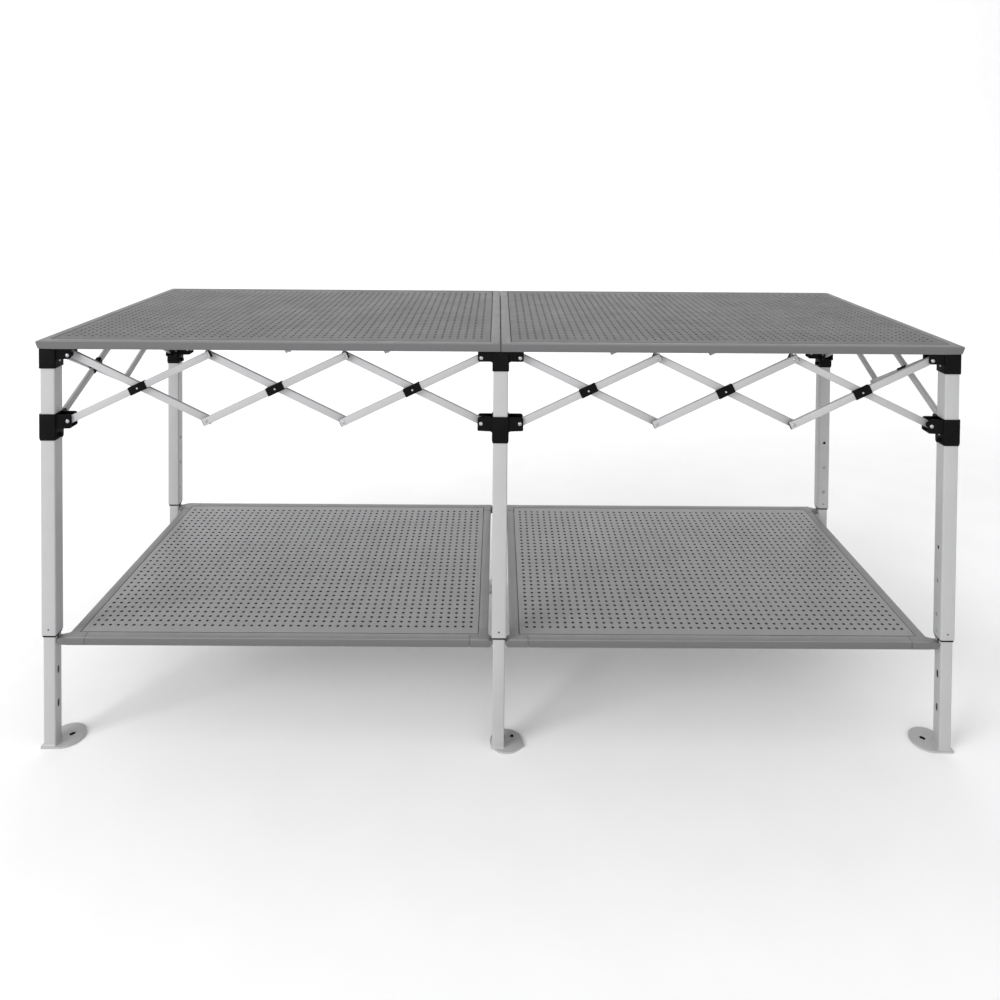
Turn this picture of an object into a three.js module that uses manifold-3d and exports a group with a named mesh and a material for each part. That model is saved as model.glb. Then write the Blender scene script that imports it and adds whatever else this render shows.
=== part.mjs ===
// Folding buffet table on a pop-up scissor frame: two perforated top panels, two perforated
// shelves, six telescopic legs, and crossed bars between them. Millimetres, +Z up, the origin
// on the ground under the middle of the table. +X runs along the table, -Y faces the server.
import * as THREE from "three";
import { mergeVertices } from "three/addons/utils/BufferGeometryUtils.js";
import Module from "manifold-3d";

const wasm = await Module();
wasm.setup();

// Driving dimensions.
const TOP_LENGTH = 2010;
const TOP_DEPTH = 710;
const TOP_HEIGHT = 900;
const LIP = 17.6; // height of a panel's side face
const GAP = 0.3; // clearance between neighbouring pieces

const LEG_X = 985; // from the middle leg to an end leg, centre to centre
const LEG_Y = 329; // from the table's middle line to a leg's centre
const OUTER_TUBE = 32;
const OUTER_WALL = 1.5;
const OUTER_BOTTOM = 250;
const OUTER_TOP = 879;
const INNER_TUBE = 26.4;
const INNER_WALL = 1.5;
const INNER_TOP = 400;

const HOLE_PITCH = 75; // between two height settings
const FIRST_HOLE = 300; // the height setting in use
const HOLE_COUNT = 3;
const HOLE_R = 4.2;
const SCREW_HOLE_R = 2;
const SCREW_HOLE_Z = 263;
const SLOT_HEIGHT = 17; // hooking slots in the lower legs
const SLOT_WIDTH = 8;
const SLOT_Z = [92, 167, 242];

const BUTTON_R = 3.8;
const BUTTON_TIP = 17.8; // from the leg's centre line
const BUTTON_BASE = 14.9; // clear of the lower leg, which slides behind it

// Ground plates are round with one pointed corner. Places are from the leg's centre line, with
// the first number along the table and the second towards the table's inside.
const FOOT_THICK = 4;
const END_FOOT = { centre: [21, 21], radius: 38, corner: [-18, -18], bolt: [30, 24], slot: 4.5 };
const MIDDLE_FOOT = { centre: [18, 10], radius: 36, corner: [58, -4], bolt: [31, 24], slot: 0 };
const FOOT_BOLT_R = 4;

const COLLAR = 36.6;
const COLLAR_HOLE = 32.6;
const FORK_GAP = 20.4;
const FORK_WIDTH = 28;
const FORK_TIP = 7.5; // from a pivot to its arm's end
const FORK_ROOT = 2; // how far an arm reaches into its collar
const FORK_CORNER = 4; // cut corners of an arm's end
const TOP_EAR_BOTTOM = 858;
const SLIDER_EAR = { bottom: 706, top: 737 };
const X_PIVOT = 42.5; // from a leg's centre line to the pivot on its lengthwise arm
const Y_PIVOT = 29; // and on its crosswise arm
const UPPER_PIVOT_Z = 866;
const LOWER_PIVOT_Z = 722;
const TOP_BRACKET = { bottom: 838, top: 882 };
const SLIDER = { bottom: 680, top: 738 };
const LOCK_Z = 688;
const LOCK_R = 2.6;
const LOCK_KNOB_R = 5.4;
const LOCK_KNOB_LENGTH = 6;

const BAR_HEIGHT = 16;
const BAR_THICK = 8;
const BAR_WALL = 1.2;
const BAR_END = 7.5; // how far a bar runs past its pivots
const BAR_SWEEP = 12.2; // room that a bar's end needs above or below its pivot
const BAR_LAYER = 5.5; // from a run's middle plane to a bar's middle plane
const RIVET_R = 3;
const RIVET_HEAD = 1.5; // how far a rivet stands out of its bars
const RIVET_REACH = BAR_LAYER + BAR_THICK / 2 + RIVET_HEAD;
const WASHER_R = 7;
const X_PAIRS = 3; // crossed pairs in one half of a long side
const PAIR_SPAN = (LEG_X - 2 * X_PIVOT) / X_PAIRS; // along the table; a cross run has the same
const CROSS_SPAN = LEG_Y - Y_PIVOT;

const RAIL = 21; // visible width of a panel's border
const LEDGE = 4; // how far the sheet rests on the border
const SHEET = 1.5;
const RAIL_WALL = 1.5;
const SHELF_TOP = 244;
const SHELF = { inner: 24, outer: 950, half: 340 };
const SHELF_TAB = { width: 30, bottom: 228, top: 240, short: 0.5 };

// Turns a closed geometry into a solid for cutting and joining.
function solid(geometry) {
  const bare = geometry.clone();
  bare.deleteAttribute("normal");
  bare.deleteAttribute("uv");
  const merged = mergeVertices(bare, 1e-4);
  return new wasm.Manifold(
    new wasm.Mesh({
      numProp: 3,
      vertProperties: merged.attributes.position.array,
      triVerts: new Uint32Array(merged.index.array),
    }),
  );
}

function geometryOf(made) {
  const mesh = made.getMesh();
  const geometry = new THREE.BufferGeometry();
  geometry.setAttribute("position", new THREE.BufferAttribute(mesh.vertProperties, 3));
  geometry.setIndex(new THREE.BufferAttribute(mesh.triVerts, 1));
  geometry.computeVertexNormals();
  return geometry;
}

// A box between two corners.
function block(low, high) {
  const size = high.map((h, i) => h - low[i]);
  const geometry = new THREE.BoxGeometry(...size);
  geometry.translate(...low.map((l, i) => l + size[i] / 2));
  return solid(geometry);
}

// A box centred on the Z axis.
function column(side, bottom, top) {
  return block([-side / 2, -side / 2, bottom], [side / 2, side / 2, top]);
}

// A round rod from one point along an axis: 0 is X, 1 is Y, 2 is Z.
function rod(radius, from, length, axis, sides = 10) {
  const geometry = new THREE.CylinderGeometry(radius, radius, length, sides);
  geometry.translate(0, length / 2, 0);
  if (axis === 0) geometry.rotateZ(-Math.PI / 2);
  if (axis === 2) geometry.rotateX(Math.PI / 2);
  geometry.translate(...from);
  return solid(geometry);
}

// An outline in the XZ plane, given a thickness along Y and centred on y.
function plate(outline, thick, y = 0) {
  const geometry = new THREE.ExtrudeGeometry(outline, {
    depth: thick,
    bevelEnabled: false,
    curveSegments: 4,
  });
  geometry.rotateX(Math.PI / 2);
  geometry.translate(0, y + thick / 2, 0);
  return solid(geometry);
}

// An outline in the XY plane, filled between two heights.
function flat(outline, bottom, top, curveSegments) {
  const depth = top - bottom;
  const geometry = new THREE.ExtrudeGeometry(outline, { depth, bevelEnabled: false, curveSegments });
  geometry.translate(0, 0, bottom);
  return solid(geometry);
}

function polygon(points) {
  return new THREE.Shape(points.map(([x, z]) => new THREE.Vector2(x, z)));
}

// The six legs. inX and inY point to the table's inside; face is the side of the outer tube
// that carries the height holes, as a turn about Z from +X.
const LEGS = [
  { name: "front_left", x: -LEG_X, y: -LEG_Y, inX: [1], inY: 1, face: 90, foot: 1 },
  { name: "front_middle", x: 0, y: -LEG_Y, inX: [1, -1], inY: 1, face: 90, foot: 1 },
  { name: "front_right", x: LEG_X, y: -LEG_Y, inX: [-1], inY: 1, face: 180, foot: -1 },
  { name: "back_left", x: -LEG_X, y: LEG_Y, inX: [1], inY: -1, face: 0, foot: 1 },
  { name: "back_middle", x: 0, y: LEG_Y, inX: [1, -1], inY: -1, face: 270, foot: -1 },
  { name: "back_right", x: LEG_X, y: LEG_Y, inX: [-1], inY: -1, face: 270, foot: -1 },
];

const white = (name) => new THREE.MeshStandardMaterial({
  name, color: 0xd2d2d4, roughness: 0.4, metalness: 0.1,
});
const grey = (name) => new THREE.MeshStandardMaterial({
  name, color: 0x86868a, roughness: 0.42, metalness: 0.5,
});
const black = (name) => new THREE.MeshStandardMaterial({
  name, color: 0x161617, roughness: 0.55, metalness: 0,
});
const zinc = (name) => new THREE.MeshStandardMaterial({
  name, color: 0xc4c6c8, roughness: 0.28, metalness: 1,
});

const table = new THREE.Group();

function addNode(parent, name, made, material) {
  const mesh = new THREE.Mesh(geometryOf(made), material(name));
  mesh.name = name;
  parent.add(mesh);
}

// Upper leg tube: open at both ends, with the height holes and one screw hole in one face.
function outerTube(face) {
  let tube = column(OUTER_TUBE, OUTER_BOTTOM, OUTER_TOP).subtract(
    column(OUTER_TUBE - 2 * OUTER_WALL, OUTER_BOTTOM - 1, OUTER_TOP + 1),
  );
  const drill = (radius, z) => rod(radius, [OUTER_TUBE / 4, 0, z], OUTER_TUBE, 0).rotate([0, 0, face]);
  for (let i = 0; i < HOLE_COUNT; i++) {
    tube = tube.subtract(drill(HOLE_R, FIRST_HOLE + i * HOLE_PITCH));
  }
  return tube.subtract(drill(SCREW_HOLE_R, SCREW_HOLE_Z));
}

// The round part of a ground plate meets its corner at two tangents.
function footOutline({ centre, radius, corner }) {
  const away = Math.atan2(corner[1] - centre[1], corner[0] - centre[0]);
  const reach = Math.hypot(corner[0] - centre[0], corner[1] - centre[1]);
  const spread = Math.acos(radius / reach);
  const outline = new THREE.Shape();
  outline.moveTo(...corner);
  outline.absarc(...centre, radius, away + spread, away - spread + 2 * Math.PI, false);
  return outline;
}

// Bolt hole, drawn out towards the plate's corner where it is a slot.
function boltHole({ bolt, slot, corner }) {
  const angle = Math.atan2(bolt[1] - corner[1], bolt[0] - corner[0]);
  const outline = new THREE.Shape();
  outline.absarc(slot / 2, 0, FOOT_BOLT_R, -Math.PI / 2, Math.PI / 2, false);
  outline.absarc(-slot / 2, 0, FOOT_BOLT_R, Math.PI / 2, 1.5 * Math.PI, false);
  return flat(outline, -1, FOOT_THICK + 1, 5)
    .rotate([0, 0, THREE.MathUtils.radToDeg(angle)])
    .translate([...bolt, 0]);
}

// Ground plate, mirrored to suit its leg.
function footPlate(signX, signY, shape) {
  return flat(footOutline(shape), 0, FOOT_THICK, 18)
    .subtract(boltHole(shape))
    .scale([signX, signY, 1]);
}

// Lower leg tube with its welded ground plate, hooking slots and button hole.
function lowerLeg(leg) {
  let tube = column(INNER_TUBE, FOOT_THICK / 2, INNER_TOP).subtract(
    column(INNER_TUBE - 2 * INNER_WALL, FOOT_THICK, INNER_TOP + 1),
  );
  const within = INNER_TUBE / 4;
  for (const side of leg.inX) {
    const [near, far] = [side * within, side * INNER_TUBE].sort((a, b) => a - b);
    for (const z of SLOT_Z) {
      const [low, high] = [z - SLOT_HEIGHT / 2, z + SLOT_HEIGHT / 2];
      tube = tube.subtract(block([near, -SLOT_WIDTH / 2, low], [far, SLOT_WIDTH / 2, high]));
    }
  }
  const bore = rod(HOLE_R, [within, 0, FIRST_HOLE], INNER_TUBE, 0).rotate([0, 0, leg.face]);
  const shape = leg.inX.length === 1 ? END_FOOT : MIDDLE_FOOT;
  return tube.subtract(bore).add(footPlate(leg.foot, leg.inY, shape));
}

// Height button: the domed head that fills a height hole of the upper leg.
function heightButton(face) {
  const dome = BUTTON_R * 0.4;
  const profile = [
    [0, BUTTON_BASE],
    [BUTTON_R, BUTTON_BASE],
    [BUTTON_R, BUTTON_TIP - dome],
    [BUTTON_R * 0.7, BUTTON_TIP - dome * 0.3],
    [0, BUTTON_TIP],
  ].map(([r, h]) => new THREE.Vector2(r, h));
  const geometry = new THREE.LatheGeometry(profile, 12);
  geometry.rotateZ(-Math.PI / 2);
  geometry.translate(0, 0, FIRST_HOLE);
  return solid(geometry).rotate([0, 0, face]);
}

// One forked arm of a bracket, along +X: an outline with a slot for the bars.
function fork(outline, slotLow, slotHigh) {
  const slot = block(
    [COLLAR / 2 + 0.1, -FORK_GAP / 2, slotLow],
    [2 * X_PIVOT, FORK_GAP / 2, slotHigh],
  );
  return plate(polygon(outline), FORK_WIDTH).subtract(slot);
}

function topFork(pivot) {
  const tip = pivot + FORK_TIP;
  const top = TOP_BRACKET.top;
  const root = COLLAR / 2 - FORK_ROOT;
  const low = TOP_EAR_BOTTOM;
  const cut = FORK_CORNER;
  return fork(
    [[root, low], [tip - cut, low], [tip, low + cut], [tip, top], [root, top]],
    TOP_BRACKET.bottom,
    UPPER_PIVOT_Z + BAR_SWEEP,
  );
}

function sliderFork(pivot) {
  const tip = pivot + FORK_TIP;
  const root = COLLAR / 2 - FORK_ROOT;
  const { bottom: low, top: high } = SLIDER_EAR;
  const cut = FORK_CORNER;
  return fork(
    [[root, low], [tip - cut, low], [tip, low + cut], [tip, high - cut], [tip - cut, high], [root, high]],
    LOWER_PIVOT_Z - BAR_SWEEP,
    SLIDER.top + 1,
  );
}

// Adds the arms that a leg's bracket carries: one or two along the table, one across it.
function withForks(collar, leg, forkOf) {
  let made = collar;
  for (const side of leg.inX) {
    made = made.add(forkOf(X_PIVOT).rotate([0, 0, side > 0 ? 0 : 180]));
  }
  return made.add(forkOf(Y_PIVOT).rotate([0, 0, leg.inY * 90]));
}

// Cap on the upper leg, which the top panels rest on.
function topBracket(leg) {
  const { bottom, top } = TOP_BRACKET;
  return withForks(column(COLLAR, bottom, top), leg, topFork).subtract(
    column(COLLAR_HOLE, bottom - 1, OUTER_TOP + GAP),
  );
}

// Sleeve that slides on the upper leg as the frame opens, with a bore for its lock pin.
function sliderBracket(leg) {
  const { bottom, top } = SLIDER;
  const bore = rod(LOCK_R + GAP, [0, 0, LOCK_Z], COLLAR, 0).rotate([0, 0, lockTurn(leg)]);
  return withForks(column(COLLAR, bottom, top), leg, sliderFork)
    .subtract(column(COLLAR_HOLE, bottom - 1, top + 1))
    .subtract(bore);
}

// A lock stands on its leg's inner side: along X at the ends, along Y in the middle.
function lockTurn(leg) {
  if (leg.inX.length > 1) return leg.inY * 90;
  return leg.inX[0] > 0 ? 0 : 180;
}

// Pull pin that locks the slider: its tip reaches the tube's face, its knob stands outside.
function sliderLock(leg) {
  const tip = OUTER_TUBE / 2 + GAP;
  const knob = COLLAR / 2 + GAP;
  return rod(LOCK_R, [tip, 0, LOCK_Z], knob + LOCK_KNOB_LENGTH / 2 - tip, 0)
    .add(rod(LOCK_KNOB_R, [knob, 0, LOCK_Z], LOCK_KNOB_LENGTH, 0))
    .rotate([0, 0, lockTurn(leg)]);
}

// One bar from pivot to pivot: flat tube, cut square and open at both ends.
function bar(from, to, layer) {
  const length = Math.hypot(to[0] - from[0], to[1] - from[1]);
  const angle = Math.atan2(to[1] - from[1], to[0] - from[0]);
  const tube = (wall, end) =>
    block(
      [-end, layer - BAR_THICK / 2 + wall, -BAR_HEIGHT / 2 + wall],
      [length + end, layer + BAR_THICK / 2 - wall, BAR_HEIGHT / 2 - wall],
    );
  return tube(0, BAR_END)
    .subtract(tube(BAR_WALL, BAR_END + 1))
    .rotate([0, -THREE.MathUtils.radToDeg(angle), 0])
    .translate([from[0], 0, from[1]]);
}

// Two crossed bars on their middle rivet, with a washer between them. The rising bar is on the
// outer layer; x is the crossing's place along the run.
function crossedPair(x) {
  const half = PAIR_SPAN / 2;
  const ends = { left: x - half, right: x + half };
  const inner = BAR_LAYER - BAR_THICK / 2;
  const rising = bar([ends.left, LOWER_PIVOT_Z], [ends.right, UPPER_PIVOT_Z], -BAR_LAYER);
  const falling = bar([ends.left, UPPER_PIVOT_Z], [ends.right, LOWER_PIVOT_Z], BAR_LAYER);
  const middle = (LOWER_PIVOT_Z + UPPER_PIVOT_Z) / 2;
  return rising
    .add(falling)
    .add(rod(RIVET_R, [x, -RIVET_REACH, middle], 2 * RIVET_REACH, 1, 8))
    .add(rod(WASHER_R, [x, -inner - 0.5, middle], 2 * inner + 1, 1, 8));
}

// A run across the table: two crossed pairs joined by the rivets of their two middle joints.
function crossRun() {
  const joint = (z) => rod(RIVET_R, [0, -RIVET_REACH, z], 2 * RIVET_REACH, 1, 8);
  return crossedPair(-CROSS_SPAN / 2)
    .add(crossedPair(CROSS_SPAN / 2))
    .add(joint(LOWER_PIVOT_Z))
    .add(joint(UPPER_PIVOT_Z));
}

// A panel's border: a folded ring, open below, with a rabbet that the sheet lies in.
function panelFrame(low, high, top) {
  const ring = (inset, bottom, lid) =>
    block([low[0] + inset, low[1] + inset, bottom], [high[0] - inset, high[1] - inset, lid]);
  const bottom = top - LIP;
  const ledge = top - SHEET - 2 * GAP;
  const hollow = ring(RAIL_WALL, bottom - 1, ledge - RAIL_WALL).subtract(
    ring(RAIL + LEDGE - RAIL_WALL, bottom - 2, top),
  );
  return ring(0, bottom, top)
    .subtract(ring(RAIL + LEDGE, bottom - 1, top + 1))
    .subtract(ring(RAIL, ledge, top + 1))
    .subtract(hollow);
}

function panelSheet(low, high, top) {
  const inset = RAIL + GAP;
  return block(
    [low[0] + inset, low[1] + inset, top - SHEET - GAP],
    [high[0] - inset, high[1] - inset, top - GAP],
  );
}

// Adds a border and its sheet, each its own node.
function addPanel(name, low, high, top, extras = []) {
  let frame = panelFrame(low, high, top);
  for (const extra of extras) frame = frame.add(extra);
  addNode(table, `${name}_frame`, frame, grey);
  addNode(table, `${name}_sheet`, panelSheet(low, high, top), grey);
}

// Hooks at a shelf's corners. Each ends just short of the lower leg beside it.
function shelfTabs(side) {
  const { width, bottom, top, short } = SHELF_TAB;
  const face = INNER_TUBE / 2 + short;
  const spans = [[face, SHELF.inner + 1], [SHELF.outer - 1, LEG_X - face]];
  const tabs = [];
  for (const y of [-SHELF.half, SHELF.half - width]) {
    for (const span of spans) {
      const [low, high] = span.map((x) => side * x).sort((a, b) => a - b);
      tabs.push(block([low, y, bottom], [high, y + width, top]));
    }
  }
  return tabs;
}

for (const leg of LEGS) {
  const place = new THREE.Group();
  place.position.set(leg.x, leg.y, 0);
  addNode(place, `upper_leg_${leg.name}`, outerTube(leg.face), white);
  addNode(place, `lower_leg_${leg.name}`, lowerLeg(leg), white);
  addNode(place, `height_button_${leg.name}`, heightButton(leg.face), zinc);
  addNode(place, `top_bracket_${leg.name}`, topBracket(leg), black);
  addNode(place, `slider_bracket_${leg.name}`, sliderBracket(leg), black);
  addNode(place, `slider_lock_${leg.name}`, sliderLock(leg), black);
  table.add(place);
}

// Long sides: three crossed pairs in each half. The back is the front turned half round.
for (const [side, turn] of [["front", 0], ["back", Math.PI]]) {
  const run = new THREE.Group();
  run.rotation.z = turn;
  for (let i = 0; i < 2 * X_PAIRS; i++) {
    const half = i < X_PAIRS ? -LEG_X + X_PIVOT : X_PIVOT;
    const crossing = half + ((i % X_PAIRS) + 0.5) * PAIR_SPAN;
    const pair = crossedPair(crossing).translate([0, -LEG_Y, 0]);
    addNode(run, `scissor_${side}_${i + 1}`, pair, white);
  }
  table.add(run);
}

// Runs across the table at its ends and middle.
for (const [name, x, turn] of [["left", -LEG_X, 90], ["middle", 0, 90], ["right", LEG_X, -90]]) {
  const run = new THREE.Group();
  run.position.x = x;
  run.rotation.z = THREE.MathUtils.degToRad(turn);
  addNode(run, `scissor_${name}`, crossRun(), white);
  table.add(run);
}

for (const [name, side] of [["left", -1], ["right", 1]]) {
  const halfSeam = GAP;
  const topX = [side * halfSeam, (side * TOP_LENGTH) / 2].sort((a, b) => a - b);
  addPanel(
    `top_panel_${name}`,
    [topX[0], -TOP_DEPTH / 2],
    [topX[1], TOP_DEPTH / 2],
    TOP_HEIGHT,
  );
}

for (const [name, side] of [["left", -1], ["right", 1]]) {
  const shelfX = [side * SHELF.inner, side * SHELF.outer].sort((a, b) => a - b);
  const low = [shelfX[0], -SHELF.half];
  const high = [shelfX[1], SHELF.half];
  addPanel(`shelf_${name}`, low, high, SHELF_TOP, shelfTabs(side));
}

export default table;
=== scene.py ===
"""Folding buffet table on a scissor frame: the visible model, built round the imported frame.

Metres, +Z up, the table along X and seen from -Y. Every visible piece is modelled here and
rides on the body of the frame that it belongs to.
"""

import math

import bmesh
import bpy
from mathutils import Matrix, Vector


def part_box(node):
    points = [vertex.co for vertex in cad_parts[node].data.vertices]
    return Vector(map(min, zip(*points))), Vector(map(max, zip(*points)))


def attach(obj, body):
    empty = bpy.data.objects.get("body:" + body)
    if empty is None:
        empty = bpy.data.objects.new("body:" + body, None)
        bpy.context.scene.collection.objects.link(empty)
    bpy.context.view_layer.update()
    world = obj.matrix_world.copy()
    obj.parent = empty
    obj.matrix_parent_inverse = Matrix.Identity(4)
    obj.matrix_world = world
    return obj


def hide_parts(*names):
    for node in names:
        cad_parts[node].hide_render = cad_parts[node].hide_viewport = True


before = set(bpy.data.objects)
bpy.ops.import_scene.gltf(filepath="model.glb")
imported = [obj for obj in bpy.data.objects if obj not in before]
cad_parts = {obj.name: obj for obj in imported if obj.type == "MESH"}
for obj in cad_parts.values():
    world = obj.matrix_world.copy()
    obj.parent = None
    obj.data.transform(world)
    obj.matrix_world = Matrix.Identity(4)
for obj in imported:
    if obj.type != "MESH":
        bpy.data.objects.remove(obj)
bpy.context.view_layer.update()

MM = 0.001
BODY = "frame"

# Legs, as in the frame: where each stands and which way its face with height holes looks.
LEG_X, LEG_Y = 0.985, 0.329
LEGS = {
    "front_left": (-1, -1, "+y"),
    "front_middle": (0, -1, "+y"),
    "front_right": (1, -1, "-x"),
    "back_left": (-1, 1, "+x"),
    "back_middle": (0, 1, "-y"),
    "back_right": (1, 1, "-y"),
}
TURN = {"+x": 0, "+y": 90, "-x": 180, "-y": 270}
UPPER_TUBE, UPPER_WALL = 0.032, 0.0015
LOWER_TUBE, LOWER_WALL = 0.0264, 0.0015
UPPER_LOW, UPPER_HIGH = 0.250, 0.879
LOWER_HIGH = 0.400
HEIGHT_HOLES = (0.300, 0.375, 0.450)
SCREW_HOLE = 0.263
HOLE_RADIUS, SCREW_RADIUS = 0.0042, 0.0020
SLOTS = (0.092, 0.167, 0.242)
SLOT_HEIGHT, SLOT_WIDTH, SLOT_CORNER = 0.017, 0.0080, 0.0030

# Scissor bars.
PIVOT_HIGH, PIVOT_LOW = 0.866, 0.722
CROSSING = (PIVOT_HIGH + PIVOT_LOW) / 2
SPAN = 0.300
X_PIVOT, Y_PIVOT = 0.0425, 0.029
BAR_H, BAR_T, BAR_WALL, BAR_END = 0.016, 0.008, 0.0012, 0.0075
LAYER = 0.0055
SLOPE = math.atan2(PIVOT_HIGH - PIVOT_LOW, SPAN)
FORK_HALF = 0.014
CLIP_HALF = 0.0195

# Panels.
HOLE_PITCH = 0.01767
HOLE_R = {"top_panel": 0.0031, "shelf": 0.0036}
SHEET_GAP = {"top_panel": 0.0021, "shelf": 0.0011}
HOLE_DRAWN = {"top_panel": 0.0, "shelf": 0.0029}
HOLE_SIDES = 12
GRID = {"top_panel": (53, 35), "shelf": (49, 34)}
LIP = 0.0176


# ---------------------------------------------------------------- materials

def material(name, colour, other, rough, metallic=0.0, shine=0.5, grain=900.0, bump=0.02,
             blotch=6.0, rough_spread=0.06, upright=None):
    """A finish: two close colours in soft blotches, uneven gloss and a fine surface grain.

    Given an upright colour, faces that stand upright, such as a hole's wall, take it: painted
    shade, darker than the faces that look up.
    """
    made = bpy.data.materials.new(name)
    made.use_nodes = True
    nodes, links = made.node_tree.nodes, made.node_tree.links
    shader = nodes["Principled BSDF"]
    shader.inputs["Metallic"].default_value = metallic
    shader.inputs["Specular IOR Level"].default_value = shine
    place = nodes.new("ShaderNodeTexCoord").outputs["Object"]

    def noise(scale, detail, roughness=0.5):
        node = nodes.new("ShaderNodeTexNoise")
        node.inputs["Scale"].default_value = scale
        node.inputs["Detail"].default_value = detail
        node.inputs["Roughness"].default_value = roughness
        links.new(place, node.inputs["Vector"])
        return node.outputs["Fac"]

    def spread(value, low, high, start=0.3, end=0.7):
        node = nodes.new("ShaderNodeMapRange")
        node.inputs["From Min"].default_value = start
        node.inputs["From Max"].default_value = end
        node.inputs["To Min"].default_value = low
        node.inputs["To Max"].default_value = high
        links.new(value, node.inputs["Value"])
        return node.outputs["Result"]

    def mixed(factor, first, second):
        node = nodes.new("ShaderNodeMix")
        node.data_type = "RGBA"
        links.new(factor, node.inputs["Factor"])
        for socket, value in ((node.inputs["A"], first), (node.inputs["B"], second)):
            if isinstance(value, tuple):
                socket.default_value = (*value, 1)
            else:
                links.new(value, socket)
        return node.outputs["Result"]

    colour_out = mixed(spread(noise(blotch, 4), 0, 1), colour, other)
    # painted shade: faces that stand upright take the darker upright colour
    if upright:
        parts = nodes.new("ShaderNodeSeparateXYZ")
        links.new(nodes.new("ShaderNodeNewGeometry").outputs["Normal"], parts.inputs["Vector"])
        level = nodes.new("ShaderNodeMath")
        level.operation = "ABSOLUTE"
        links.new(parts.outputs["Z"], level.inputs[0])
        colour_out = mixed(spread(level.outputs["Value"], 0, 1, 0.3, 0.6), upright, colour_out)
    links.new(colour_out, shader.inputs["Base Color"])
    links.new(
        spread(noise(blotch * 3, 5, 0.6), rough - rough_spread, rough + rough_spread),
        shader.inputs["Roughness"],
    )
    raised = nodes.new("ShaderNodeBump")
    raised.inputs["Strength"].default_value = 0.35
    raised.inputs["Distance"].default_value = bump * MM
    links.new(noise(grain, 2), raised.inputs["Height"])
    links.new(raised.outputs["Normal"], shader.inputs["Normal"])
    return made


# Near-black for a sheet's upright faces, its hole walls and edges: painted shade in the holes.
HOLE_WALL_SHADE = (0.012, 0.012, 0.013)
# The top and the shelf have one powder coat in two tones: painted shade darkens the top and
# painted light lightens the shelf, for how the light falls on each.
TOP_SHADED_PAINT = material("top_powder_coat_painted_shade", (0.148, 0.148, 0.151), (0.130, 0.130, 0.133), 0.42,
                     shine=0.05, grain=1400, bump=0.05, blotch=5, upright=HOLE_WALL_SHADE)
SHELF_LIT_PAINT = material("shelf_powder_coat_painted_light", (0.256, 0.256, 0.260), (0.230, 0.230, 0.234), 0.40,
                       grain=1400, bump=0.05, blotch=5, upright=HOLE_WALL_SHADE)
# The rails' and corners' upright colours darken their lips and sides: painted shade.
TOP_RAIL_PAINT = material("top_rail_powder_coat", (0.190, 0.190, 0.193), (0.176, 0.176, 0.179),
                          0.38, shine=0.05, grain=1400, bump=0.05, blotch=9,
                          upright=(0.124, 0.124, 0.127))
SHELF_RAIL_PAINT = material("shelf_rail_powder_coat", (0.196, 0.196, 0.199),
                            (0.182, 0.182, 0.185), 0.40, grain=1400, bump=0.05, blotch=9,
                            upright=(0.102, 0.102, 0.104))
CORNER_PAINT = material("corner_casting", (0.206, 0.206, 0.209), (0.190, 0.190, 0.193), 0.46,
                        grain=800, bump=0.10, blotch=24, upright=(0.108, 0.108, 0.110))
WHITE = material("leg_powder_coat", (0.372, 0.372, 0.378), (0.352, 0.352, 0.358), 0.38,
                 grain=1100, bump=0.06, blotch=14)
# Black moulded plastic of the brackets, clips and bushes; the same black paints shade into the
# seams, the plate holes and the bar ends.
BLACK_PLASTIC_AND_SHADE = material("moulded_black_and_painted_shade", (0.0030, 0.0030, 0.0032), (0.0044, 0.0044, 0.0047), 0.48,
                   shine=0.05, grain=1800, bump=0.08, blotch=40)
# Near-black lining for the tubes' insides: painted shade seen through their holes.
TUBE_INSIDE_SHADE = material("tube_inside_painted_shade", (0.010, 0.010, 0.011), (0.007, 0.007, 0.008), 0.60,
                      metallic=0.3, grain=500, bump=0.05, blotch=30)
ZINC = material("zinc_plated", (0.42, 0.43, 0.45), (0.30, 0.31, 0.33), 0.34, metallic=1.0,
                grain=1500, bump=0.03, blotch=120, rough_spread=0.10)
PALE = material("pale_floor", (0.90, 0.90, 0.90), (0.88, 0.88, 0.88), 0.9, grain=40, bump=0.02)


# ---------------------------------------------------------------- mesh building

SHARP_ANGLE = 35  # degrees; an edge that turns more than this is drawn sharp


def place_piece(mesh, name, body, finish, stands_for=()):
    """Puts a finished mesh into the scene as a piece of the table."""
    piece = bpy.data.objects.new(name, mesh)
    bpy.context.scene.collection.objects.link(piece)
    mesh.materials.clear()
    mesh.materials.append(finish)
    mesh.polygons.foreach_set("use_smooth", [True] * len(mesh.polygons))
    mesh.set_sharp_from_angle(angle=math.radians(SHARP_ANGLE))
    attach(piece, body)
    if stands_for:
        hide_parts(*stands_for)
    return piece


def bevelled(mesh, width, angle=40):
    """The mesh with the edges that turn more than an angle rounded."""
    def add(holder):
        bevel = holder.modifiers.new("edge", "BEVEL")
        bevel.width = width
        bevel.segments = 2
        bevel.limit_method = "ANGLE"
        bevel.angle_limit = math.radians(angle)
        bevel.use_clamp_overlap = True

    return baked(mesh, add)


def baked(mesh, add_modifiers):
    """The mesh as its modifiers leave it."""
    holder = bpy.data.objects.new("holder", mesh)
    bpy.context.scene.collection.objects.link(holder)
    add_modifiers(holder)
    made = bpy.data.meshes.new_from_object(
        holder.evaluated_get(bpy.context.evaluated_depsgraph_get())
    )
    bpy.data.objects.remove(holder)
    return made


def combine(mesh, other, operation):
    """Boolean of two closed meshes."""
    tool = bpy.data.objects.new("tool", other)
    bpy.context.scene.collection.objects.link(tool)

    def add(holder):
        cut = holder.modifiers.new("cut", "BOOLEAN")
        cut.operation = operation
        cut.solver = "EXACT"
        cut.object = tool

    made = baked(mesh, add)
    bpy.data.objects.remove(tool)
    return made


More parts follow.
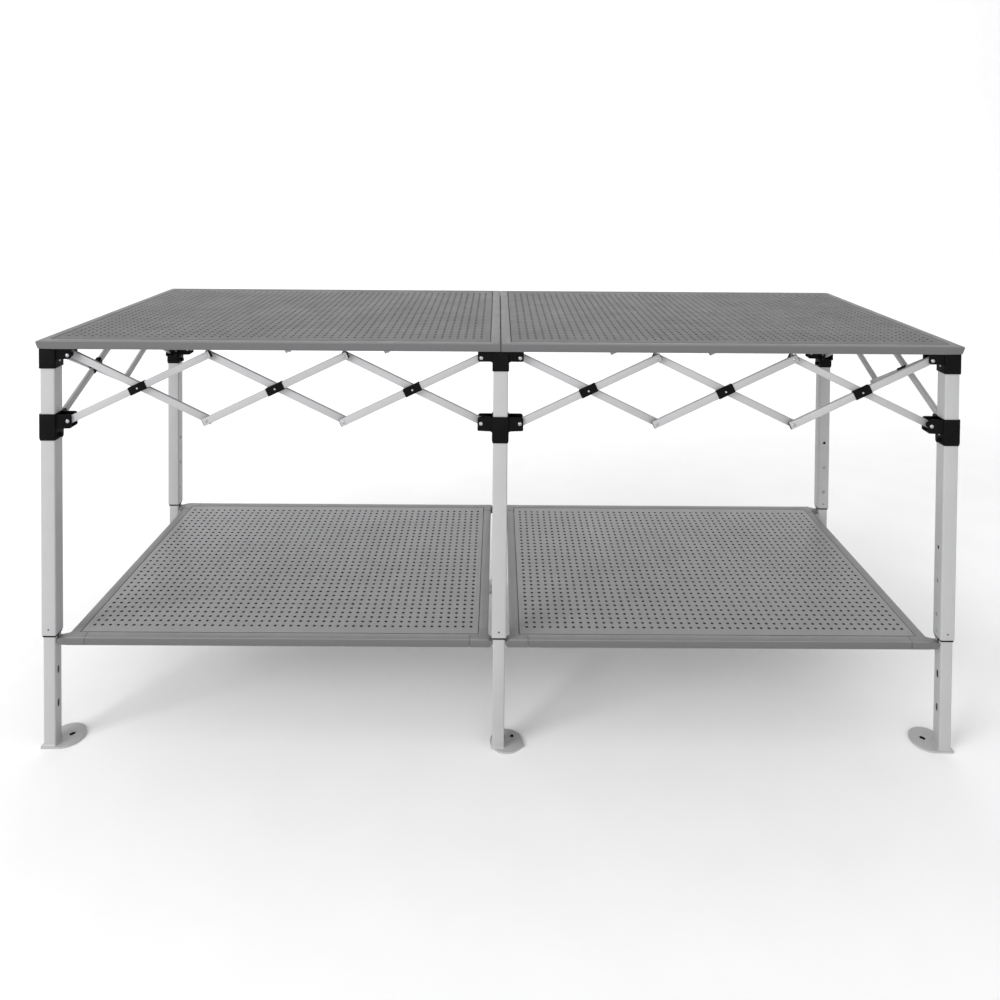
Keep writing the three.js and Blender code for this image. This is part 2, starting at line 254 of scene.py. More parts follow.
def mesh_of(name, build):
    """A mesh from a function that fills a bmesh."""
    shape = bmesh.new()
    build(shape)
    bmesh.ops.recalc_face_normals(shape, faces=shape.faces)
    mesh = bpy.data.meshes.new(name)
    shape.to_mesh(mesh)
    shape.free()
    return mesh


def band(shape, rings):
    """Joins each ring to the next and the last to the first."""
    for ring, following in zip(rings, rings[1:] + rings[:1]):
        bridge(shape, ring, following)


def joined(name, meshes):
    """Several meshes as one, each part kept closed."""
    def build(shape):
        for mesh in meshes:
            shape.from_mesh(mesh)
    return mesh_of(name, build)


def rounded_outline(width, height, radius, steps=4):
    """A rectangle with round corners, centred, anticlockwise."""
    points = []
    for corner, (sx, sy) in enumerate(((1, 1), (-1, 1), (-1, -1), (1, -1))):
        centre = Vector((sx * (width / 2 - radius), sy * (height / 2 - radius)))
        for i in range(steps + 1):
            a = math.radians(90 * (corner + i / steps))
            points.append(centre + radius * Vector((math.cos(a), math.sin(a))))
    return points


def prism(outline, low, high):
    """A mesh that fills an outline in XY between two heights."""
    def build(shape):
        rings = [[shape.verts.new((p[0], p[1], z)) for p in outline] for z in (low, high)]
        shape.faces.new(rings[0])
        shape.faces.new(rings[1])
        bridge(shape, *rings)
    return mesh_of("prism", build)


def bridge(shape, first, second):
    """Joins two closed rings with the same number of points by a band of faces."""
    count = len(first)
    for i in range(count):
        j = (i + 1) % count
        shape.faces.new((first[i], first[j], second[j], second[i]))


def tube(outer, inner, low, high, lip=0.0004):
    """A tube between two outlines with the same number of points, its rims slightly rounded."""
    def build(shape):
        rings = []
        for outline, z, inset in (
            (outer, low + lip, 0), (outer, high - lip, 0), (outer, high, lip),
            (inner, high, 0), (inner, low, 0), (outer, low, lip),
        ):
            rings.append([shape.verts.new((*shrunk(p, inset), z)) for p in outline])
        band(shape, rings)
    return mesh_of("tube", build)


def shrunk(point, inset):
    """The point, moved straight towards the origin."""
    length = Vector(point).length
    return Vector(point) * (1 - inset / length)


def box(low, high):
    outline = [(low[0], low[1]), (high[0], low[1]), (high[0], high[1]), (low[0], high[1])]
    return prism(outline, low[2], high[2])


def lathe(profile, steps=20):
    """Turns a profile of (radius, height) points round Z. It starts and ends on the axis."""
    def build(shape):
        rings = []
        for radius, height in profile:
            if radius == 0:
                rings.append([shape.verts.new((0, 0, height))])
                continue
            turns = [2 * math.pi * i / steps for i in range(steps)]
            rings.append([
                shape.verts.new((radius * math.cos(a), radius * math.sin(a), height))
                for a in turns
            ])
        for first, second in zip(rings, rings[1:]):
            if len(first) == 1 or len(second) == 1:
                tip, ring = (first, second) if len(first) == 1 else (second, first)
                for i in range(steps):
                    shape.faces.new((tip[0], ring[i], ring[(i + 1) % steps]))
            else:
                bridge(shape, first, second)
    return mesh_of("lathe", build)


def cylinder(radius, low, high):
    return lathe([(0, low), (radius, low), (radius, high), (0, high)])


def along(direction):
    """A turn that brings +Z to a direction."""
    return Vector((0, 0, 1)).rotation_difference(Vector(direction)).to_matrix().to_4x4()


def moved(mesh, matrix):
    """A copy of the mesh, moved; a mirrored copy keeps its faces looking outwards."""
    copy = mesh.copy()
    copy.transform(matrix)
    if matrix.determinant() < 0:
        copy.flip_normals()
    return copy


def at(*place):
    return Matrix.Translation(Vector(place))


def turned(degrees, axis="Z"):
    return Matrix.Rotation(math.radians(degrees), 4, axis)


# ---------------------------------------------------------------- legs

CUT_NEAR, CUT_FAR = 0.008, 0.020  # a hole's cutter, from the leg's centre line


def hole_cutters(holes, turn):
    """Cutters for (radius, height) holes in the face that looks along +X before the turn."""
    cutters = [
        moved(cylinder(radius, CUT_NEAR, CUT_FAR), at(0, 0, z) @ along((1, 0, 0)))
        for radius, z in holes
    ]
    return moved(joined("holes", cutters), turned(turn))


def upper_leg(side_y, face):
    """Upper tube: height holes and a screw hole in one face, a second screw hole outwards."""
    outer = rounded_outline(UPPER_TUBE, UPPER_TUBE, 0.0032)
    inner = rounded_outline(UPPER_TUBE - 2 * UPPER_WALL, UPPER_TUBE - 2 * UPPER_WALL, 0.0018)
    mesh = tube(outer, inner, UPPER_LOW, UPPER_HIGH)
    holes = [(HOLE_RADIUS, z) for z in HEIGHT_HOLES] + [(SCREW_RADIUS, SCREW_HOLE)]
    mesh = combine(mesh, hole_cutters(holes, TURN[face]), "DIFFERENCE")
    front = "-y" if side_y < 0 else "+y"
    return combine(mesh, hole_cutters([(SCREW_RADIUS, SCREW_HOLE)], TURN[front]), "DIFFERENCE")


def bush():
    """Black plastic guide in the upper leg's mouth, with a rim that shows below it."""
    wide, hole = UPPER_TUBE - 2 * UPPER_WALL - 0.0003, LOWER_TUBE + 0.0004
    outer, inner = rounded_outline(wide, wide, 0.0016), rounded_outline(hole, hole, 0.0012)
    return tube(outer, inner, UPPER_LOW - 0.0044, UPPER_LOW + 0.014)


def lower_leg(side_x, face):
    """Lower tube, with its hooking slots and the hole for the height button."""
    outer = rounded_outline(LOWER_TUBE, LOWER_TUBE, 0.0028)
    inner = rounded_outline(LOWER_TUBE - 2 * LOWER_WALL, LOWER_TUBE - 2 * LOWER_WALL, 0.0014)
    mesh = tube(outer, inner, FOOT_T - 0.0002, LOWER_HIGH)
    slot = rounded_outline(SLOT_HEIGHT, SLOT_WIDTH, SLOT_CORNER, 6)
    for inward in ((1, -1) if side_x == 0 else (-side_x,)):
        cutters = [
            moved(prism(slot, 0.009, 0.016), at(0, 0, z) @ along((inward, 0, 0)))
            for z in SLOTS
        ]
        mesh = combine(mesh, joined("slots", cutters), "DIFFERENCE")
    return combine(mesh, hole_cutters([(HOLE_RADIUS, HEIGHT_HOLES[0])], TURN[face]), "DIFFERENCE")


def liner(size, low, high):
    """Near-black lining inside a tube: painted shade behind its holes."""
    outer = rounded_outline(size - 0.0002, size - 0.0002, 0.0013)
    inner = rounded_outline(size - 0.0010, size - 0.0010, 0.0010)
    return tube(outer, inner, low, high, 0.0001)


# Ground plates: a disc drawn out to one corner. Places are from the leg's centre line.
FOOT_T = 0.004
END_FOOT = {"centre": (0.021, 0.021), "radius": 0.038, "corner": (-0.018, -0.018),
            "bolt": (0.030, 0.024), "slot": 0.0045}
MIDDLE_FOOT = {"centre": (0.018, 0.010), "radius": 0.036, "corner": (0.058, -0.004),
               "bolt": (0.031, 0.024), "slot": 0.0}
BOLT_R = 0.0040


def foot_outline(shape):
    """The disc, and the two tangents that run from it to the corner, which is blunted."""
    centre, corner = Vector(shape["centre"]), Vector(shape["corner"])
    away, radius = corner - centre, shape["radius"]
    start = math.atan2(away.y, away.x)
    spread = math.acos(radius / away.length)
    points, steps, blunt = [], 40, 0.12
    for i in range(steps + 1):
        a = start + spread + (2 * math.pi - 2 * spread) * i / steps
        points.append(centre + radius * Vector((math.cos(a), math.sin(a))))
    for share in (1, 0.6, 0.25):
        points.append(corner.lerp(points[steps], blunt * share) - away * 0.0004 / away.length)
    for share in (0.25, 0.6, 1):
        points.append(corner.lerp(points[0], blunt * share) - away * 0.0004 / away.length)
    return points


def bolt_place(shape):
    """Brings a slot along X to a plate's bolt hole, in line with the plate's corner."""
    bolt, corner = Vector(shape["bolt"]), Vector(shape["corner"])
    angle = math.degrees(math.atan2(bolt.y - corner.y, bolt.x - corner.x))
    return at(*bolt, 0) @ turned(angle)


def bolt_outline(shape, radius):
    return rounded_outline(shape["slot"] + 2 * radius, 2 * radius, radius * 0.999, 8)


def foot(shape):
    plate = prism(foot_outline(shape), 0.0, FOOT_T)
    cutter = moved(prism(bolt_outline(shape, BOLT_R), -0.01, 0.01), bolt_place(shape))
    return bevelled(combine(plate, cutter, "DIFFERENCE"), 0.0007, 50)


def foot_hole_shade(shape):
    """Black ring that lines a ground plate's hole: painted shade in the hole."""
    outlines = [bolt_outline(shape, r) for r in (BOLT_R - 0.0001, BOLT_R - 0.0011)]
    return moved(tube(*outlines, 0.0006, FOOT_T + 0.0003, 0.0002), bolt_place(shape))


def weld():
    """The bead round a lower leg's foot: a soft fillet with a slight ripple."""
    def build(shape):
        rings = []
        for side, z in ((0.0, 0.0036), (0.0026, 0.0040), (0.0014, 0.0052), (0.0, 0.0072)):
            size = LOWER_TUBE + 2 * side
            points = rounded_outline(size, size, 0.0028 + side, 9)
            ring = []
            for i, p in enumerate(points):
                ripple = 1 + (0.006 * math.sin(i * 2.3) if side else 0)
                ring.append(shape.verts.new((p[0] * ripple, p[1] * ripple, z)))
            rings.append(ring)
        band(shape, rings)
    return mesh_of("weld", build)


def button():
    """Domed head of a height button, along +X once it is placed."""
    return lathe([(0, 0.0149), (0.0038, 0.0149), (0.0038, 0.0163), (0.0034, 0.0170),
                  (0.0024, 0.0175), (0.0012, 0.01775), (0, 0.0178)])


# ---------------------------------------------------------------- brackets

def outline_plate(points, thick):
    """An outline in XZ given a thickness, centred on Y."""
    return moved(prism(points, -thick / 2, thick / 2), turned(90, "X"))


def round_corner(points, index, radius, steps=6):
    """Replaces one corner of an outline by an arc."""
    before, here, after = (Vector(points[(index + k) % len(points)]) for k in (-1, 0, 1))
    one, two = (before - here).normalized(), (after - here).normalized()
    half = one.angle(two) / 2
    reach = radius / math.tan(half)
    middle = here + (one + two).normalized() * radius / math.sin(half)
    start, end = here + one * reach, here + two * reach
    a, b = start - middle, end - middle
    total = a.angle_signed(b)
    arc = []
    for i in range(steps + 1):
        t = -total * i / steps
        arc.append(middle + Vector((a.x * math.cos(t) - a.y * math.sin(t),
                                    a.x * math.sin(t) + a.y * math.cos(t))))
    return [tuple(p) for p in points[:index]] + [tuple(p) for p in arc] + [
        tuple(p) for p in points[index + 1:]]


COLLAR = 0.0366
TOP_BRACKET = (0.838, 0.882)
SLIDER = (0.680, 0.738)
FORK_TIP = 0.0075  # from a pivot to its arm's end
EAR = 0.0038
LOCK_Z, LOCK_BORE = 0.688, 0.0029


def top_arm(pivot):
    """Forked arm of a top bracket, along +X."""
    tip, root, top = pivot + FORK_TIP, COLLAR / 2 - 0.002, TOP_BRACKET[1]
    points = [(root, 0.855), (root + 0.006, 0.858), (tip, 0.858), (tip, top), (root, top)]
    points = round_corner(points, 2, 0.0050)
    arm = outline_plate(points, 2 * FORK_HALF)
    slot = box((COLLAR / 2 + 0.0001, -FORK_HALF + EAR, 0.83), (0.1, FORK_HALF - EAR, 0.8782))
    return combine(arm, slot, "DIFFERENCE")


def slider_arm(pivot):
    """Forked arm of a slider bracket, along +X."""
    tip, root, top = pivot + FORK_TIP, COLLAR / 2 - 0.002, 0.7365
    points = [(root, 0.702), (root + 0.006, 0.7052), (tip, 0.7062), (tip, top), (root, top)]
    points = round_corner(points, 3, 0.0060)
    points = round_corner(points, 2, 0.0030)
    arm = outline_plate(points, 2 * FORK_HALF)
    slot = box((COLLAR / 2 + 0.0001, -FORK_HALF + EAR, 0.7098), (0.1, FORK_HALF - EAR, 0.76))
    return combine(arm, slot, "DIFFERENCE")


def arms(side_x, side_y, arm):
    """The arms a leg's bracket carries, each with its turn."""
    turns = [0, 180] if side_x == 0 else [0 if side_x < 0 else 180]
    made = [moved(arm(X_PIVOT), turned(t)) for t in turns]
    return made + [moved(arm(Y_PIVOT), turned(-90 * side_y))]


def collar(low, high, foot_inset):
    """The sleeve round the upper leg, drawn in a little at its lower end."""
    def build(shape):
        rings = []
        for z, inset in ((low, foot_inset), (low + 0.006, 0.0), (high, 0.0)):
            size = COLLAR - 2 * inset
            outline = rounded_outline(size, size, 0.0036, 5)
            rings.append([shape.verts.new((p[0], p[1], z)) for p in outline])
        shape.faces.new(rings[0])
        shape.faces.new(rings[-1])
        for ring, following in zip(rings, rings[1:]):
            bridge(shape, ring, following)
    return mesh_of("collar", build)


def bracket(side_x, side_y, low, high, foot_inset, arm, bore_low, bore_high):
    """A collar with its arms, bored for the upper leg."""
    mesh = collar(low, high, foot_inset)
    for limb in arms(side_x, side_y, arm):
        mesh = combine(mesh, limb, "UNION")
    hole = prism(rounded_outline(0.0325, 0.0325, 0.0030), bore_low, bore_high)
    mesh = combine(mesh, hole, "DIFFERENCE")
    return bevelled(mesh, 0.0007, 32)


def lock():
    """Slider lock: a ribbed knob on a pin, along +X from the sleeve's side."""
    face = COLLAR / 2
    profile = [(0, 0.0163), (0.0026, 0.0163), (0.0026, face + 0.0004), (0.0048, face + 0.0004),
               (0.0054, face + 0.0012), (0.0054, face + 0.0024), (0.0047, face + 0.0030),
               (0.0047, face + 0.0038), (0.0054, face + 0.0044), (0.0053, face + 0.0056),
               (0.0044, face + 0.0062), (0.0016, face + 0.0063), (0, face + 0.0060)]
    return lathe(profile, 28)


# Bracket screws: heights of the upper and the lower one.
SCREWS = (0.852, 0.7005)
SCREW = lathe([(0, -0.001), (0.0026, -0.001), (0.0026, 0.0004), (0.0022, 0.0010),
               (0.0012, 0.0013), (0, 0.0014)])


# ---------------------------------------------------------------- bars and rivets

ROUND_STEPS = 24  # sides of a rivet or washer


def rivet(head, shank, reach, dome):
    """A pin with a domed head at each end, along Z and centred."""
    half = [(shank, reach - 0.0004), (head, reach - 0.0004), (head, reach + dome * 0.25),
            (head * 0.88, reach + dome * 0.62), (head * 0.62, reach + dome * 0.88),
            (head * 0.3, reach + dome * 0.985), (0, reach + dome)]
    return lathe([(r, -z) for r, z in reversed(half)] + half, ROUND_STEPS)


def washer(radius, hole, low, high):
    def build(shape):
        rings = []
        for r, z in ((hole, low), (radius - 0.0004, low), (radius, low + 0.0003),
                     (radius, high - 0.0003), (radius - 0.0004, high), (hole, high)):
            rings.append([
                shape.verts.new((r * math.cos(a), r * math.sin(a), z))
                for a in (2 * math.pi * i / ROUND_STEPS for i in range(ROUND_STEPS))
            ])
        band(shape, rings)
    return mesh_of("washer", build)


BAR_LENGTH = math.hypot(SPAN, PIVOT_HIGH - PIVOT_LOW)
BAR_OUTER = rounded_outline(BAR_T, BAR_H, 0.0014, 3)
BAR_INNER = rounded_outline(BAR_T - 2 * BAR_WALL, BAR_H - 2 * BAR_WALL, 0.0005, 3)


def bar(rising):
    """One bar in its run: the run's plane is XZ, the crossing at the origin."""
    end = BAR_LENGTH / 2 + BAR_END
    return in_layer(moved(tube(BAR_OUTER, BAR_INNER, -end, end, 0.0002), LAID), rising)


def painted_shade_ends(rising):
    """Black inserts in both ends of a bar: painted shade for the dark inside of an open bar end.
    """
    end = BAR_LENGTH / 2 + BAR_END
    plug = [shrunk(p, 0.0002) for p in BAR_INNER]
    cap = [shrunk(p, 0.0003) for p in BAR_OUTER]
    halves = []
    for side in (-1, 1):
        for outline, near, far in ((plug, end - 0.006, end + 0.0004), (cap, end, end + 0.0011)):
            halves.append(prism(outline, *sorted((side * near, side * far))))
    return in_layer(moved(joined("shade_end_meshes", halves), LAID), rising)


def in_layer(mesh, rising):
    """Leans a bar that lies along X and puts it on its side of the run."""
    lean = math.degrees(SLOPE)
    if rising:
        return moved(mesh, at(0, -LAYER, 0) @ turned(-lean, "Y"))
    return moved(mesh, at(0, LAYER, 0) @ turned(lean, "Y"))


# Lays a tube built along Z down along X, with its height upright.
LAID = Matrix(((0, 0, 1, 0), (1, 0, 0, 0), (0, 1, 0, 0), (0, 0, 0, 1)))


def sleeve():
    """Black clip round the rising bar at its crossing, with a low rib along its face."""
    outer = rounded_outline(BAR_T + 0.0034, BAR_H + 0.0026, 0.0016, 3)
    inner = rounded_outline(BAR_T + 0.0003, BAR_H + 0.0003, 0.0014, 3)
    mesh = moved(tube(outer, inner, -CLIP_HALF, CLIP_HALF, 0.0005), LAID)
    rib = box((-CLIP_HALF + 0.0005, -0.0064, 0.0036), (CLIP_HALF - 0.0005, -0.0052, 0.0080))
    mesh = joined("sleeve", [mesh, bevelled(rib, 0.0004)])
    return in_layer(mesh, True)


# A run along its own X, with its middle plane at Y 0: crossings, joints, pivots in the forks.
HALVES = (-LEG_X + X_PIVOT, X_PIVOT)
LONG_RUN = (
    [start + (i + 0.5) * SPAN for start in HALVES for i in range(3)],
    [start + i * SPAN for start in HALVES for i in (1, 2)],
    (-LEG_X + X_PIVOT, -X_PIVOT, X_PIVOT, LEG_X - X_PIVOT),
)
CROSS_RUN = ((-SPAN / 2, SPAN / 2), (0,), (-SPAN, SPAN))
RUNS = {
    "front": (at(0, -LEG_Y, 0), *LONG_RUN),
    "back": (turned(180) @ at(0, -LEG_Y, 0), *LONG_RUN),
    "left": (at(-LEG_X, 0, 0) @ turned(90), *CROSS_RUN),
    "middle": (turned(90), *CROSS_RUN),
    "right": (at(LEG_X, 0, 0) @ turned(-90), *CROSS_RUN),
}


def node_of_crossing(run, index):
    """The frame's solid that the bars of a crossing stand for."""
    return f"scissor_{run}_{index + 1}" if run in ("front", "back") else f"scissor_{run}"


def build_run(run):
    """The bars of one run, with all its rivets as one piece and its mouldings as another."""
    place, crossings, joints, fork_pivots = RUNS[run]
    bars = {"rising": bar(True), "falling": bar(False)}
    # black inserts at the bar ends: painted shade
    shade_end_meshes = joined("shade_end_meshes", [painted_shade_ends(True), painted_shade_ends(False)])
    clip, facing = sleeve(), along((0, 1, 0))
    metal, plastic = [], []
    for i, x in enumerate(crossings):
        here = place @ at(x, 0, CROSSING)
        node = node_of_crossing(run, i)
        for kind, mesh in bars.items():
            place_piece(moved(mesh, here), f"bar_{run}_{i + 1}_{kind}", BODY,
                        WHITE, (node,))
        plastic += [moved(clip, here), moved(shade_end_meshes, here)]
        metal.append(moved(CROSS_RIVET, here @ facing))
    for x in joints:
        for z in (PIVOT_LOW, PIVOT_HIGH):
            here = place @ at(x, 0, z) @ facing
            metal.append(moved(JOINT_RIVET, here))
            plastic.append(moved(JOINT_WASHER, here))
    for i, x in enumerate(fork_pivots):
        opens = 1 if i % 2 == 0 else -1
        for z in (PIVOT_LOW, PIVOT_HIGH):
            here = place @ at(x, 0, z) @ facing
            metal.append(moved(FORK_RIVET, here))
            # a falling bar leaves the upper pivot to the right, a rising one to the left
            inner = (z == PIVOT_HIGH) == (opens > 0)
            low, high = (-FORK_GAP, 0.0015) if inner else (-0.0015, FORK_GAP)
            plastic.append(moved(washer(0.0058, 0.0024, low, high), here))
    place_piece(joined("rivets", metal), f"rivets_{run}", BODY, ZINC)
    place_piece(joined("mouldings", plastic), f"bar_mouldings_{run}", BODY,
                BLACK_PLASTIC_AND_SHADE)


FORK_GAP = FORK_HALF - EAR
CROSS_RIVET = rivet(0.0024, 0.0020, 0.0113, 0.0012)
JOINT_RIVET = rivet(0.0036, 0.0020, 0.0095, 0.0015)
FORK_RIVET = rivet(0.0043, 0.0022, FORK_HALF, 0.0018)
JOINT_WASHER = washer(0.0068, 0.0022, -0.0014, 0.0014)


# ---------------------------------------------------------------- panels

# Cross-section of a panel's border in mm: how far in from its edge, how far above its top.
BORDER = [
    (25.0, -2.2), (23.4, -2.2), (23.4, -13.0), (21.0, -13.0), (21.0, -0.7), (20.8, -0.2),
    (20.3, 0.0), (2.6, 0.0), (1.3, -0.3), (0.35, -1.2), (0.0, -2.4), (0.0, -16.2),
    (0.3, -17.1), (1.2, -17.6), (9.0, -17.6), (9.0, -16.6), (1.4, -16.6), (1.0, -16.2),
    (1.0, -2.6), (1.9, -1.3), (3.0, -1.0), (19.8, -1.0), (20.0, -1.2), (20.0, -14.0),
    (25.0, -14.0),
]


def swept(profile, path, top):
    """Sweeps a border's cross-section along (point, inward direction, taper) steps.

    The taper draws the foot of the lip inwards by that many millimetres.
    """
    def build(shape):
        rings = []
        for (x, y), (ix, iy), taper in path:
            ring = []
            for u, v in profile:
                inset = (u + taper * max(0.0, (-v - 4) / 13.6) * (u < 9.5)) * MM
                ring.append(shape.verts.new((x + ix * inset, y + iy * inset, top + v * MM)))
            rings.append(ring)
        for first, second in zip(rings, rings[1:]):
            bridge(shape, first, second)
        shape.faces.new(rings[0])
        shape.faces.new(rings[-1])
    return mesh_of("border", build)


def corners_of(low, high):
    """A rectangle's corners with the directions that lead inwards from both edges at once."""
    return [((low.x, low.y), (1, 1)), ((high.x, low.y), (-1, 1)),
            ((high.x, high.y), (-1, -1)), ((low.x, high.y), (1, -1))]


def perforated(low, high, columns, rows, radius, top, thick, drawn):
    """A sheet with a square grid of round holes: every hole is an opening in the mesh.

    radius is the holes', and drawn is how far each hole's edge is pressed below the sheet.
    """
    centre = (low + high) / 2
    half = HOLE_PITCH / 2
    x0 = centre.x - (columns - 1) * half
    y0 = centre.y - (rows - 1) * half
    side = 360 / HOLE_SIDES
    angles = [math.radians(side * (k + 0.5)) for k in range(HOLE_SIDES)]
    edge = []
    for a in angles:
        reach = half / max(abs(math.cos(a)), abs(math.sin(a)))
        edge.append((reach * math.cos(a), reach * math.sin(a)))
    verts, faces, known = [], [], {}

    def vertex(x, y, z):
        key = (round(x * 1e6), round(y * 1e6), round(z * 1e6))
        if key not in known:
            known[key] = len(verts)
            verts.append((x, y, z))
        return known[key]

    bottom = top - thick
    for i in range(columns):
        for j in range(rows):
            cx, cy = x0 + i * HOLE_PITCH, y0 + j * HOLE_PITCH
            rings = []
            for z in (top, bottom):
                outer = [vertex(cx + u, cy + v, z) for u, v in edge]
                deep = z - (drawn if z == bottom else 0)
                inner = [vertex(cx + radius * math.cos(a), cy + radius * math.sin(a), deep)
                         for a in angles]
                rings.append((outer, inner))
            (up_out, up_in), (down_out, down_in) = rings
            for k in range(HOLE_SIDES):
                n = (k + 1) % HOLE_SIDES
                faces.append((up_in[k], up_out[k], up_out[n], up_in[n]))
                faces.append((down_in[n], down_out[n], down_out[k], down_in[k]))
                faces.append((up_in[n], down_in[n], down_in[k], up_in[k]))

    # The plain margin: strips from the grid's outline to the sheet's edge.
    bend = half * math.tan(math.radians(side / 2))
    offsets = (-half, -bend, bend)
    across = [x0 + i * HOLE_PITCH + o for i in range(columns) for o in offsets]
    across.append(x0 + (columns - 1) * HOLE_PITCH + half)
    upward = [y0 + j * HOLE_PITCH + o for j in range(rows) for o in offsets]
    upward.append(y0 + (rows - 1) * HOLE_PITCH + half)
    xs, ys = [low.x, *across, high.x], [low.y, *upward, high.y]
    for i in range(len(xs) - 1):
        for j in range(len(ys) - 1):
            if 0 < i < len(xs) - 2 and 0 < j < len(ys) - 2:
                continue
            square = [(xs[i], ys[j]), (xs[i + 1], ys[j]),
                      (xs[i + 1], ys[j + 1]), (xs[i], ys[j + 1])]
            faces.append([vertex(x, y, top) for x, y in square])
            faces.append([vertex(x, y, bottom) for x, y in reversed(square)])
    rim = [(x, low.y) for x in xs] + [(high.x, y) for y in ys[1:]]
    rim += [(x, high.y) for x in reversed(xs[:-1])] + [(low.x, y) for y in reversed(ys[1:-1])]
    for k, (x, y) in enumerate(rim):
        nx, ny = rim[(k + 1) % len(rim)]
        faces.append((vertex(x, y, top), vertex(x, y, bottom), vertex(nx, ny, bottom),
                      vertex(nx, ny, top)))
    mesh = bpy.data.meshes.new("sheet")
    mesh.from_pydata(verts, [], faces)
    mesh.validate()
    return mesh


def panel_sheet(kind, side):
    node = f"{kind}_{side}_sheet"
    low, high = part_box(node)
    inset = Vector((SHEET_GAP[kind], SHEET_GAP[kind], 0))
    finish = SHELF_LIT_PAINT if kind == "shelf" else TOP_SHADED_PAINT
    mesh = perforated(low + inset, high - inset, *GRID[kind], HOLE_R[kind], high.z,
                      high.z - low.z, HOLE_DRAWN[kind])
    place_piece(mesh, f"{node}_perforated", f"{kind}_{side}", finish, (node,))


# Borders: four straight rails between four corners, which are separate castings on a shelf.
# Its castings have hooks outside and black spigots that show in the seams beside the rails: their
# black is painted shade in the seams.
CORNER = 0.040  # a corner's length along each edge
SEAM = {"top_panel": 0.0, "shelf": 0.0008}  # between a corner and a rail
CORNER_TAPER = {"top_panel": 3.5, "shelf": 0.0}  # mm that an outer corner's lip draws in
PROUD = {"top_panel": 0.0, "shelf": 0.3}  # mm
SPIGOT = [(2.0, -1.8), (19.4, -1.8), (19.4, -2.8), (3.0, -2.8), (3.0, -15.6), (2.0, -15.6)]
SPIGOT_NEAR, SPIGOT_FAR = 0.004, 0.014  # how far it reaches to both sides of the seam
PANEL_SEAM = 0.0006
SEAM_SHADE_STRIP = 0.0012  # black strip between the two top panels: painted shade in their seam
SEAM_SHADE_END, SEAM_SHADE_FACE = 0.0020, 0.0010  # how far it is set in
SHELF_INNER, SHELF_OUTER = 0.024, 0.950
HOOK_DEPTH, HOOK_TIP = 0.022, 0.0005


def rails(low, high, seam):
    """The four straight rails between the corners."""
    ends = corners_of(low, high)
    meshes = []
    for k, ((x, y), _) in enumerate(ends):
        nx, ny = ends[(k + 1) % 4][0]
        along_edge = Vector((nx - x, ny - y)).normalized()
        inward = (-along_edge.y, along_edge.x)
        start = Vector((x, y)) + along_edge * (CORNER + seam)
        end = Vector((nx, ny)) - along_edge * (CORNER + seam)
        meshes.append(swept(BORDER, [(start, inward, 0), (end, inward, 0)], high.z))
    return joined("rails", meshes)


def casting(corner, top, taper, proud):
    """A casting round one corner: the rails' section, some millimetres proud of it."""
    (x, y), (ix, iy) = corner
    section = [(u - (proud if u <= 20 else 0), v + (proud if v == 0 else 0)) for u, v in BORDER]
    path = [((x + ix * CORNER, y), (0, iy), 0), ((x, y), (ix, iy), taper),
            ((x, y + iy * CORNER), (ix, 0), 0)]
    return swept(section, path, top)


def hook(corner, top, side):
    """The tab that carries a shelf's lip on to the lower leg beside it."""
    (x, y), (ix, iy) = corner
    leg_face = LOWER_TUBE / 2 + HOOK_TIP
    tip = side * (leg_face if abs(x) < LEG_X / 2 else LEG_X - leg_face)
    step = 1 if tip > x else -1
    points = [(x - step * 0.001, -0.0172), (tip - step * 0.0055, -0.0172),
              (tip, -0.0095), (tip, -0.0052), (tip - step * 0.006, -0.0046),
              (x + step * 0.004, -0.0022), (x - step * 0.001, -0.0006)]
    width = sorted((y + iy * 0.0002, y + iy * HOOK_DEPTH))
    block = prism([(u, top + v) for u, v in points], -width[1], -width[0])
    return bevelled(moved(block, turned(90, "X")), 0.0008, 25)


